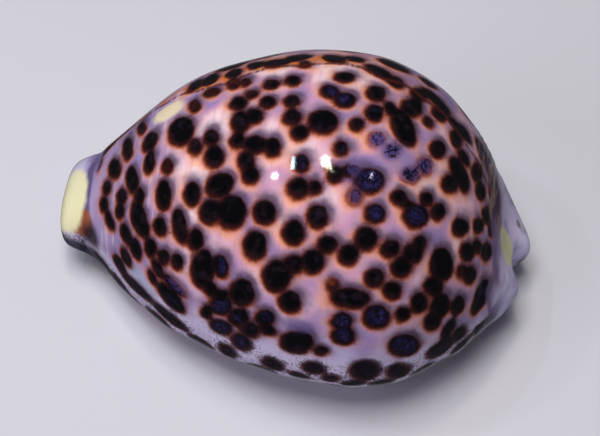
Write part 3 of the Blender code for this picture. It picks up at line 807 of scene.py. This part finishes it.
# %% The coats, from the ground up
# colour, strength, then the measures that must agree: none of it at one value, all at the next
# A spot that is very thin, or lies deep under glaze, has lost its dark coats.
SHOWS = ("oddness", 0.96, 0.78)
GROUND = "#dba0b8"
COATS = (
    # the ground: lilac, peach and pale blotches, bluer to both ends and pale on the front flank
    ("#8878bc", 0.82, ("broad", 0.06, -0.16)),
    ("#fbdde0", 0.85, ("broad", -0.02, 0.17)),
    ("#f8ae8b", 0.80, ("warm", 2.40, -0.2)),
    ("#8c7090", 0.22, ("streak", 0.00, 0.22)),
    ("#a99fd6", 0.60, ("near", 42.0, 84.0)),
    ("#9a8fc4", 0.70, ("front", 15.0, 32.0)),
    ("#e8d8e4", 0.60, ("front", 12.0, 24.0), ("front", 36.0, 30.0), ("streak", -0.04, -0.16)),
    ("#9683b8", 0.60, ("rear", 14.0, 30.0), ("broad", 0.12, -0.10)),
    ("#b9c2da", 0.85, ("flank_pale", 1.40, 0.60)),
    # the spots: smoke on one side, a peach glow and a rusty rim on the other, a haze over
    # part of the crown, dark red inside, then black
    ("#7a6684", 0.75, ("smoke", 2.30, 0.1)),
    ("#d97c58", 0.72, ("glow", 1.20, -0.25)),
    ("#94441f", 0.88, ("rust", 1.00, 0.25)),
    ("#65558a", 0.80, ("crown_smoke", 1.30, 0.50)),
    ("#8878b0", 0.70, ("crown_haze", 1.30, 0.50)),
    ("#52405a", 0.85, ("smoke", 1.00, -0.3), SHOWS),
    ("#3a1412", 1.00, ("rust", 0.70, -0.05), SHOWS),
    ("#1c0c10", 0.95, ("core", 0.40, -0.35), SHOWS),
    ("#040306", 1.00, ("deep", 0.18, -0.70), SHOWS),
    ("#2a1c26", 0.45, ("core", 0.10, -0.60), ("wobble", -0.02, 0.20), SHOWS),
    # thin rusty spots, and spots under violet glaze
    ("#5a2013", 0.70, ("core", 0.35, -0.60), ("thin", 0.40, 0.90)),
    ("#a04c1e", 0.60, ("core", 0.60, -0.90), ("thin", 0.80, 1.00)),
    ("#2c1210", 0.75, ("smoke", 0.10, -1.20), ("thin", 0.40, 0.90)),
    ("#1e183e", 0.85, ("core", 0.00, -0.60), ("veil", 0.45, 1.05)),
    ("#40366e", 0.40, ("core", -0.20, -0.90), ("veil", 0.60, 1.10), ("grain", -0.10, 0.12)),
    ("#4c4076", 0.85, ("core", 1.0, -0.5), ("tone", 0.80, 0.97)),
    ("#1b1530", 0.80, ("core", 0.40, -0.20), ("tone", 0.80, 0.97), ("grain", -0.04, 0.14)),
    ("#0e0a14", 0.92, ("core", 0.60, 0.05), ("veil", 0.75, 1.10), ("cracks", 0.13, 0.04),
     ("wobble", -0.20, -0.04)),
    # the mantle line, orange beyond it, and the pale far flank: its own pale lilac, painted lighter as a
    # sheen of mirrored light
    ("#4d1712", 0.85, ("line", 0.85, 0.20), ("line", -0.85, -0.20), ("streak", -0.26, 0.06),
     ("far", -40.0, -30.0)),
    ("#d9762c", 0.80, ("line", 0.2, 1.0), ("line", 6.5, 3.0), ("core", 0.3, 0.7), ("middling", -0.16, 0.04),
     ("rear", 22.0, 8.0)),
    # the pale far flank: own pale lilac with a painted reflection
    ("#d9cdf2", 0.90, ("line", 8.0, 12.0), ("core", 0.4, 1.5), ("far", 10.0, 40.0)),
    ("#3a2838", 0.75, ("line", 9.0, 15.0), ("speck", 0.02, 0.11), ("core", 2.2, 0.4), ("far", 10.0, 40.0)),
    # the near band, lavender under fine dark specks
    ("#ece0ff", 0.92, ("near", 72.0, 90.0), ("core", 0.3, 1.5)),
    ("#4a2a26", 0.55, ("near", 76.0, 90.0), ("core", 1.3, 0.5), ("core", -0.3, 0.2)),
    ("#2c1c33", 0.85, ("near", 77.0, 90.0), ("speck", -0.01, 0.08), ("low", -28.0, -20.0),
     ("core", 2.6, 0.4)),
    ("#2c1c33", 0.60, ("near", 82.0, 96.0), ("speck", 0.03, 0.11), ("low", -24.0, -17.0), ("core", 0.0, 0.6)),
    ("#d9c3c2", 0.96, ("low", -5.5, -1.5)),
    # the callus at each end: a dark border, then pale, and under the front end on the near side a dark patch,
    # partly dark glaze and partly painted shade
    ("#9c8cc0", 0.94, ("front", 34.8, 36.2)),
    ("#3f3352", 0.75, ("front", 35.6, 36.3), ("front", 37.6, 36.8), ("far", 50.0, 15.0)),
    ("#ded6f0", 0.85, ("front", 37.2, 39.0)),
    ("#6d5d86", 0.80, ("rear", 32.2, 33.2), ("far", 50.0, 15.0)),
    ("#3a2831", 0.80, ("rear", 31.2, 33.8), ("low", -17.0, -23.0), ("far", -20.0, 5.0)),
    ("#c29a84", 0.60, ("rear", 31.2, 33.4), ("low", -19.0, -24.0), ("far", -20.0, 5.0),
     ("streak", 0.03, -0.14)),
    ("#e2d6fb", 0.94, ("rear", 33.4, 35.6), ("low", -25.0, -21.0)),
    ("#8f80b0", 0.45, ("rear", 34.6, 35.6), ("low", -25.0, -21.0), ("middling", 0.00, -0.14)),
    # dark under the front end: partly the glaze's own dark, partly painted shade
    ("#1d1526", 0.88, ("front", 28.5, 34.5), ("low", -14.0, -10.5), ("near", 20.0, 60.0)),
    ("#e6dae6", 0.80, ("front", 30.0, 33.0), ("low", -16.5, -14.0), ("low", -10.5, -13.0),
     ("speck", -0.02, 0.05)),
    # the patches; the three pale yellow ones are painted highlights over the shell's own pale callus and a
    # pale patch on the back
    ("#a0562c", 0.92, ("front_brown", 1.25, 0.80)),
    ("#2a1a24", 0.92, ("front_dark", 1.25, 0.40)),
    ("#2e1614", 0.80, ("rear_brown", 1.00, 0.70)),
    ("#6d4a4c", 0.70, ("rear_dot", 1.00, 0.50)),
    ("#f4efc0", 0.96, ("front_pale_highlight", 1.08, 0.84)),
    ("#f4efc0", 0.96, ("rear_pale_highlight", 1.08, 0.76)),
    ("#f6e3bc", 0.90, ("back_pale_highlight", 1.10, 0.60), ("core", 0.4, 1.0)),
    ("#6a5a92", 0.75, ("near_smear", 1.20, 0.30)),
    # the wall of the hollow
    ("#b8a8cc", 1.00, ("within", 0.35, 0.60)),
)
print(len(COATS), "coats")

# %% Lay every coat over the ones before it
# Mix keeps its two colours in sockets 6 and 7, and gives the mixed one in socket 2.
UNDER, OVER, MIXED = 6, 7, 2
colour = paint(GROUND)
for code, strength, *gates in COATS:
    amount = strength
    for name, none, full in gates:
        gate = add_node("ShaderNodeMapRange", {0: measure[name], 1: none, 2: full},
                        interpolation_type="SMOOTHSTEP")
        amount = add_node("ShaderNodeMath", {0: gate.outputs[0], 1: amount}, operation="MULTIPLY").outputs[0]
    coat = add_node("ShaderNodeMix", {0: amount, UNDER: colour, OVER: paint(code)}, data_type="RGBA")
    colour = coat.outputs[MIXED]
print(len(tree.nodes), "nodes so far")

# %% A skin of fine scratches and grains, a little relief and duller towards the base
# Scratches run slantwise, about 10 mm long and half a millimetre wide.
SCRATCH_TURN, SCRATCH_STRETCH = (0.0, 0.0, 0.5), (0.10, 1.8, 0.6)
GRAIN_SHARE = 0.5
RELIEF_STRENGTH, RELIEF_METRES = 0.07, 0.00012
POLISHED, RUBBED = 0.05, 0.30
POLISHED_DOWN_TO, RUBBED_BELOW = -22.0, -2.0

scratch_place = add_node("ShaderNodeMapping", {"Vector": in_mm, "Rotation": SCRATCH_TURN,
                                               "Scale": SCRATCH_STRETCH}).outputs[0]
scratches = add_node("ShaderNodeTexNoise", {"Vector": scratch_place, "Scale": 1.0, "Detail": 4.0,
                                            "Roughness": 0.7}).outputs[0]
grained = add_node("ShaderNodeMath", {0: cloud["grain"], 1: GRAIN_SHARE, 2: scratches},
                   operation="MULTIPLY_ADD").outputs[0]
relief = add_node("ShaderNodeBump", {"Height": grained, "Strength": RELIEF_STRENGTH,
                                     "Distance": RELIEF_METRES}).outputs[0]
dulled = add_node("ShaderNodeMapRange", {0: measure["low"], 1: POLISHED_DOWN_TO, 2: RUBBED_BELOW,
                                         3: POLISHED, 4: RUBBED}).outputs[0]
print("roughness from", POLISHED, "on the back to", RUBBED, "at the base")

# %% The shader itself: aragonite's index, a clear glaze and a little see-into depth
enamel = add_node("ShaderNodeBsdfPrincipled", {
    "Base Color": colour, "Roughness": dulled, "Normal": relief, "IOR": 1.6,
    "Subsurface Weight": 0.08, "Subsurface Radius": (1.0, 0.45, 0.35), "Subsurface Scale": 0.0010})
add_node("ShaderNodeOutputMaterial", {"Surface": enamel.outputs[0]})
skin.materials.clear()
skin.materials.append(glaze)
print("glaze laid:", len(tree.nodes), "nodes,", len(tree.links), "links")

# %% [markdown]
# ## The table and the light
# A pale matt table gives the shell a soft bounce from below. Two wide soft lamps, one
# above and one at the front, light the colours, and the glaze doesn't mirror them, so
# they can't wash the colours out. Four small tinted lamps are there only to be
# mirrored: the highlights on a polished shell are small, sharp copies of the lamps
# round it. The room gives little light, and more only from low behind the shell,
# because the outer edges of the glaze mirror what lies beyond them. Where the camera
# looks past the table, the room is drawn pale all the same.

# %% A plain pale table
HALF_TABLE = 0.9
plane = bmesh.new()
bmesh.ops.create_grid(plane, x_segments=1, y_segments=1, size=HALF_TABLE)
top = bpy.data.meshes.new("table")
plane.to_mesh(top)
plane.free()
table = bpy.data.objects.new("table", top)
bpy.context.scene.collection.objects.link(table)

card = bpy.data.materials.new("matt_card")
card.use_nodes = True
card_shader = card.node_tree.nodes["Principled BSDF"]
card_shader.inputs["Base Color"].default_value = paint("#d3d1d9")
card_shader.inputs["Roughness"].default_value = 0.8
top.materials.append(card)
table.visible_glossy = False        # the glaze mirrors the dim room instead of the pale table
print("table, m across:", 2 * HALF_TABLE)

# %% Two wide soft lamps, and four small ones for the glints
# name, colour, direction from the shell, then distance, width and depth in m, watts, and
# whether the glaze mirrors it
LAMPS = (("wide_lamp", "#ffffff", (-0.12, -0.12, 1.00), 0.60, 0.26, 0.26, 2.9, False),
         ("side_lamp", "#f4f0ff", (-0.66, -0.52, 0.54), 0.60, 0.30, 0.30, 0.8, False),
         ("glint_0", "#ffe6f2", (-0.577, -0.023, 0.816), 0.553, 0.026, 0.024, 0.18, True),
         ("glint_1", "#b8ecff", (-0.415, 0.101, 0.904), 0.552, 0.009, 0.075, 0.26, True),
         ("glint_2", "#fff6d8", (-0.098, 0.150, 0.984), 0.551, 0.032, 0.070, 0.40, True),
         ("glint_3", "#e8e0ff", (0.331, 0.134, 0.934), 0.554, 0.016, 0.016, 0.02, True))
CROWN = Vector((0.002, -0.007, 0.045))
for name, tint, direction, away, wide, deep, watts, mirrored in LAMPS:
    light = bpy.data.lights.new(name, "AREA")
    light.shape = "RECTANGLE"
    light.size, light.size_y = wide, deep
    light.energy = watts
    light.color = paint(tint)[:3]
    lamp = bpy.data.objects.new(name, light)
    bpy.context.scene.collection.objects.link(lamp)
    behind = Vector(direction).normalized()
    across = (Vector((1.0, 0.0, 0.0)) - behind * behind.x).normalized()
    turn = Matrix((across, behind.cross(across), behind)).transposed().to_4x4()
    lamp.matrix_world = Matrix.Translation(CROWN + behind * away) @ turn
    lamp.visible_glossy = mirrored
print(len(LAMPS), "lamps")

# %% A dim room, lighter low behind the shell and pale in view
LOW_BEHIND = (0.0, 0.52, -0.85)
DIM, LIGHTER, SHOWN_BY = 0.05, 0.30, 0.50
room = bpy.data.worlds.new("pale_room")
room.use_nodes = True
tree = room.node_tree               # so add_node now adds to the room
room_light = tree.nodes["Background"]
room_light.inputs["Color"].default_value = paint("#dfe0ee")
looking = add_node("ShaderNodeTexCoord", {}).outputs["Object"]
toward = add_node("ShaderNodeVectorMath", {0: looking, 1: LOW_BEHIND},
                  operation="DOT_PRODUCT").outputs["Value"]
strength = add_node("ShaderNodeMapRange", {0: toward, 1: 0.88, 2: 0.99, 3: DIM, 4: LIGHTER}).outputs[0]
in_view = add_node("ShaderNodeLightPath", {}).outputs["Is Camera Ray"]
shown = add_node("ShaderNodeMath", {0: in_view, 1: SHOWN_BY, 2: strength},
                 operation="MULTIPLY_ADD").outputs[0]
tree.links.new(shown, room_light.inputs["Strength"])
bpy.context.scene.world = room
print("room light from", DIM, "to", LIGHTER)
